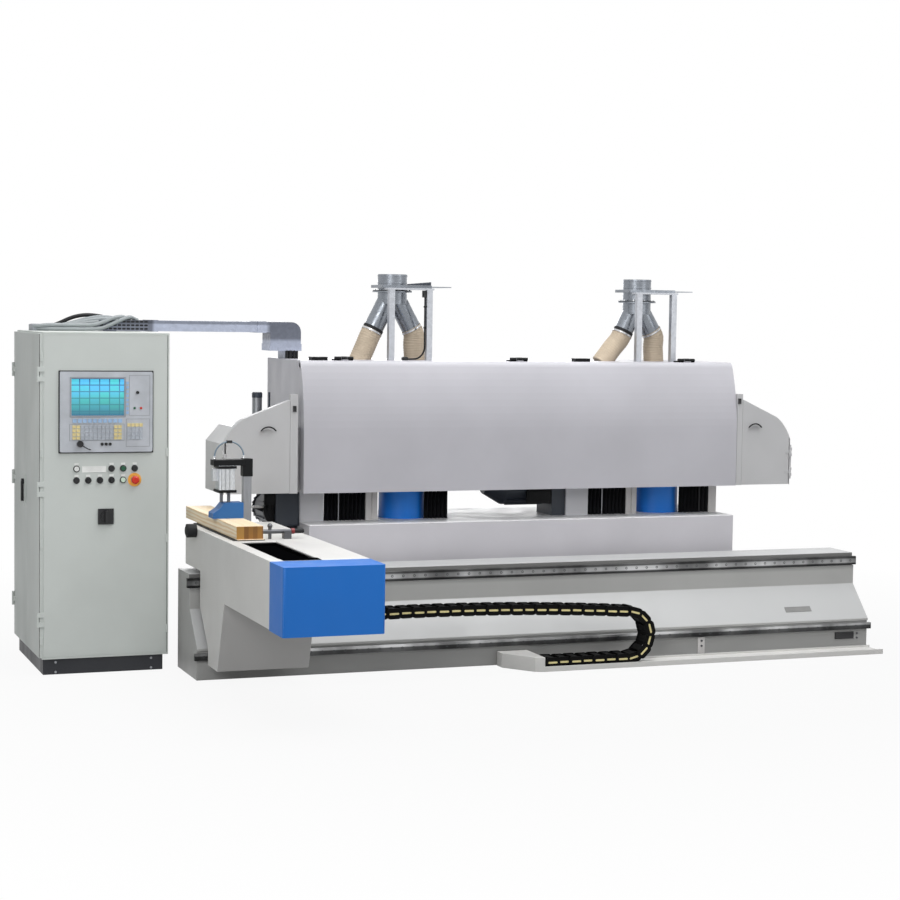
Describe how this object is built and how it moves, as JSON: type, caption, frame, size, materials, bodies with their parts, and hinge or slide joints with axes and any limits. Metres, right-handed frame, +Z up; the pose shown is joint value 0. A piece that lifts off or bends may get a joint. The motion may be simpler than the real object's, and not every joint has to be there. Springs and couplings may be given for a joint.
{
  "type": "tenoning_machine",
  "caption": "Window tenoner with a sliding clamp carriage on a long bed, two hooded tool stations, slide-gated ducts, drag chain and a control cabinet.",
  "frame": {"origin": "Middle of the bed's underside, on the floor.", "axes": "+X along the bed from the carriage's rest end to the far end, +Y from the operator's side towards the stations, +Z up."},
  "size_m": [5.6413, 3.19, 2.505],
  "materials": {
    "grey_paint": "powder coated light grey",
    "hood_paint": "smooth pale lilac grey",
    "cabinet_paint": "fine textured light grey green",
    "blue_paint": "gloss machine blue",
    "dark_paint": "satin dark grey",
    "black_paint": "satin black",
    "rail_steel": "ground steel",
    "pale_steel": "ground pale steel",
    "dark_steel": "oiled steel",
    "bright_steel": "polished tool steel",
    "galvanised": "galvanised sheet",
    "cast_aluminium": "anodised",
    "timber": "planed softwood",
    "black_rubber": "matt",
    "beige_hose": "ribbed hose",
    "grey_plastic": "moulded",
    "black_plastic": "moulded",
    "white_plastic": "moulded",
    "green_plastic": "moulded",
    "pale_green_plastic": "moulded",
    "red_plastic": "moulded",
    "screen_glass": "lit screen"
  },
  "bodies": {
    "machine": {"bed": "grey_paint", "upper_rail": "rail_steel", "lower_rail": "rail_steel", "rear_base": "grey_paint", "enclosure": "hood_paint", "roof_fittings": "black_plastic", "station_columns": "grey_paint", "guide_posts": "pale_steel", "chip_screens": "black_rubber", "guard_shells": "grey_paint", "unit_motors": "dark_paint", "duct_wyes": "galvanised", "duct_hoses": "beige_hose", "duct_posts": "galvanised", "cable_trunking": "galvanised", "conduits": "grey_plastic", "cabinet_shell": "cabinet_paint", "cabinet_plinth": "black_paint", "hmi_frame": "grey_plastic", "hmi_screen": "screen_glass", "control_bezels": "black_plastic", "electrical_plate": "galvanised", "chain_trough": "grey_paint", "chain_lower": "black_plastic"},
    "carriage": {"carriage_frame": "grey_paint", "end_cover": "blue_paint", "guide_blocks": "rail_steel", "backing_timber": "timber", "clamp_column": "pale_steel", "clamp_arm": "black_paint", "clamp_cylinder": "cast_aluminium", "air_hose": "grey_plastic", "stop_rod": "dark_steel", "chain_upper": "black_plastic"},
    "clamp_shoe_body": {"clamp_shoe": "blue_paint"},
    "chain_bend_body": {"chain_bend": "black_plastic"},
    "saw_blade_body": {"saw_blade": "bright_steel"},
    "left_gate_body": {"left_gate": "galvanised"},
    "right_gate_body": {"right_gate": "galvanised"},
    "hood_front_body": {"hood_front": "hood_paint"},
    "left_guard_door_body": {"left_guard_door": "grey_paint"},
    "right_guard_door_body": {"right_guard_door": "grey_paint"},
    "left_quill_body": {"left_quill": "blue_paint"},
    "left_tools_body": {"left_tools": "bright_steel"},
    "right_quill_body": {"right_quill": "blue_paint"},
    "right_tools_body": {"right_tools": "bright_steel"},
    "front_door_body": {"front_door": "cabinet_paint"},
    "rear_door_body": {"rear_door": "cabinet_paint"},
    "door_handle_body": {"door_handle": "black_plastic"},
    "main_switch_body": {"main_switch": "black_plastic"},
    "white_button_body": {"white_button": "white_plastic"},
    "black_button_body": {"black_button": "black_plastic"},
    "green_button_body": {"green_button": "green_plastic"},
    "dark_button_body": {"dark_button": "black_plastic"},
    "square_button_body": {"square_button": "black_plastic"},
    "start_button_body": {"start_button": "pale_green_plastic"},
    "selector_left_body": {"selector_left": "black_plastic"},
    "selector_middle_body": {"selector_middle": "black_plastic"},
    "selector_right_body": {"selector_right": "black_plastic"},
    "emergency_stop_body": {"emergency_stop": "red_plastic"}
  },
  "joints": [
    {"name": "carriage_slide", "type": "slide", "parent": "machine", "child": "carriage", "axis": [1, 0, 0], "range_m": [0, 3.38], "deforming": ["chain_upper", "chain_lower"]},
    {"name": "chain_bend_slide", "type": "slide", "parent": "machine", "child": "chain_bend_body", "axis": [1, 0, 0], "range_m": [0, 1.69]},
    {"name": "clamp_slide", "type": "slide", "parent": "carriage", "child": "clamp_shoe_body", "axis": [0, 0, 1], "range_m": [0, 0.055]},
    {"name": "hood_hinge", "type": "hinge", "parent": "machine", "child": "hood_front_body", "pos_m": [0.0625, 0.4935, 1.944], "axis": [-1, 0, 0], "range_deg": [0, 80]},
    {"name": "left_guard_hinge", "type": "hinge", "parent": "machine", "child": "left_guard_door_body", "pos_m": [-2.041, 0.3415, 1.3], "axis": [0, 0, -1], "range_deg": [0, 100]},
    {"name": "right_guard_hinge", "type": "hinge", "parent": "machine", "child": "right_guard_door_body", "pos_m": [2.069, 0.3415, 1.3], "axis": [0, 0, 1], "range_deg": [0, 100]},
    {"name": "left_quill_slide", "type": "slide", "parent": "machine", "child": "left_quill_body", "axis": [0, 0, 1], "range_m": [-0.25, 0]},
    {"name": "left_spindle_spin", "type": "hinge", "parent": "left_quill_body", "child": "left_tools_body", "pos_m": [-0.69, 0.7825, 1.2], "axis": [0, 0, 1], "continuous": true},
    {"name": "right_quill_slide", "type": "slide", "parent": "machine", "child": "right_quill_body", "axis": [0, 0, 1], "range_m": [-0.25, 0]},
    {"name": "right_spindle_spin", "type": "hinge", "parent": "right_quill_body", "child": "right_tools_body", "pos_m": [1.233, 0.7825, 1.2], "axis": [0, 0, 1], "continuous": true},
    {"name": "saw_spin", "type": "hinge", "parent": "machine", "child": "saw_blade_body", "pos_m": [-1.6, 0.8805, 0.94], "axis": [0, 1, 0], "continuous": true},
    {"name": "left_gate_slide", "type": "slide", "parent": "machine", "child": "left_gate_body", "axis": [-1, 0, 0], "range_m": [0, 0.24]},
    {"name": "right_gate_slide", "type": "slide", "parent": "machine", "child": "right_gate_body", "axis": [-1, 0, 0], "range_m": [0, 0.24]},
    {"name": "front_door_hinge", "type": "hinge", "parent": "machine", "child": "front_door_body", "pos_m": [-3.249, 0.1655, 1.1], "axis": [0, 0, 1], "range_deg": [0, 110]},
    {"name": "rear_door_hinge", "type": "hinge", "parent": "machine", "child": "rear_door_body", "pos_m": [-3.249, 1.1655, 1.1], "axis": [0, 0, -1], "range_deg": [0, 110]},
    {"name": "handle_turn", "type": "hinge", "parent": "rear_door_body", "child": "door_handle_body", "pos_m": [-3.25, 0.7235, 1.15], "axis": [1, 0, 0], "range_deg": [0, 90]},
    {"name": "main_switch_turn", "type": "hinge", "parent": "machine", "child": "main_switch_body", "pos_m": [-2.835, 0.1475, 0.972], "axis": [0, 1, 0], "range_deg": [0, 90]},
    {"name": "white_button_push", "type": "slide", "parent": "machine", "child": "white_button_body", "axis": [0, 1, 0], "range_m": [0, 0.004], "stiffness_N_per_m": 400, "springref_m": -0.002},
    {"name": "black_button_push", "type": "slide", "parent": "machine", "child": "black_button_body", "axis": [0, 1, 0], "range_m": [0, 0.004], "stiffness_N_per_m": 400, "springref_m": -0.002},
    {"name": "green_button_push", "type": "slide", "parent": "machine", "child": "green_button_body", "axis": [0, 1, 0], "range_m": [0, 0.004], "stiffness_N_per_m": 400, "springref_m": -0.002},
    {"name": "dark_button_push", "type": "slide", "parent": "machine", "child": "dark_button_body", "axis": [0, 1, 0], "range_m": [0, 0.004], "stiffness_N_per_m": 400, "springref_m": -0.002},
    {"name": "square_button_push", "type": "slide", "parent": "machine", "child": "square_button_body", "axis": [0, 1, 0], "range_m": [0, 0.004], "stiffness_N_per_m": 400, "springref_m": -0.002},
    {"name": "start_button_push", "type": "slide", "parent": "machine", "child": "start_button_body", "axis": [0, 1, 0], "range_m": [0, 0.004], "stiffness_N_per_m": 400, "springref_m": -0.002},
    {"name": "selector_left_turn", "type": "hinge", "parent": "machine", "child": "selector_left_body", "pos_m": [-2.9433, 0.1525, 1.196], "axis": [0, 1, 0], "range_deg": [-45, 45]},
    {"name": "selector_middle_turn", "type": "hinge", "parent": "machine", "child": "selector_middle_body", "pos_m": [-2.8716, 0.1525, 1.196], "axis": [0, 1, 0], "range_deg": [-45, 45]},
    {"name": "selector_right_turn", "type": "hinge", "parent": "machine", "child": "selector_right_body", "pos_m": [-2.7999, 0.1525, 1.196], "axis": [0, 1, 0], "range_deg": [-45, 45]},
    {"name": "emergency_stop_push", "type": "slide", "parent": "machine", "child": "emergency_stop_body", "axis": [0, 1, 0], "range_m": [0, 0.004]}
  ],
  "couplings": [
    {"joint": "chain_bend_slide", "follows": "carriage_slide", "ratio": 0.5}
  ]
}
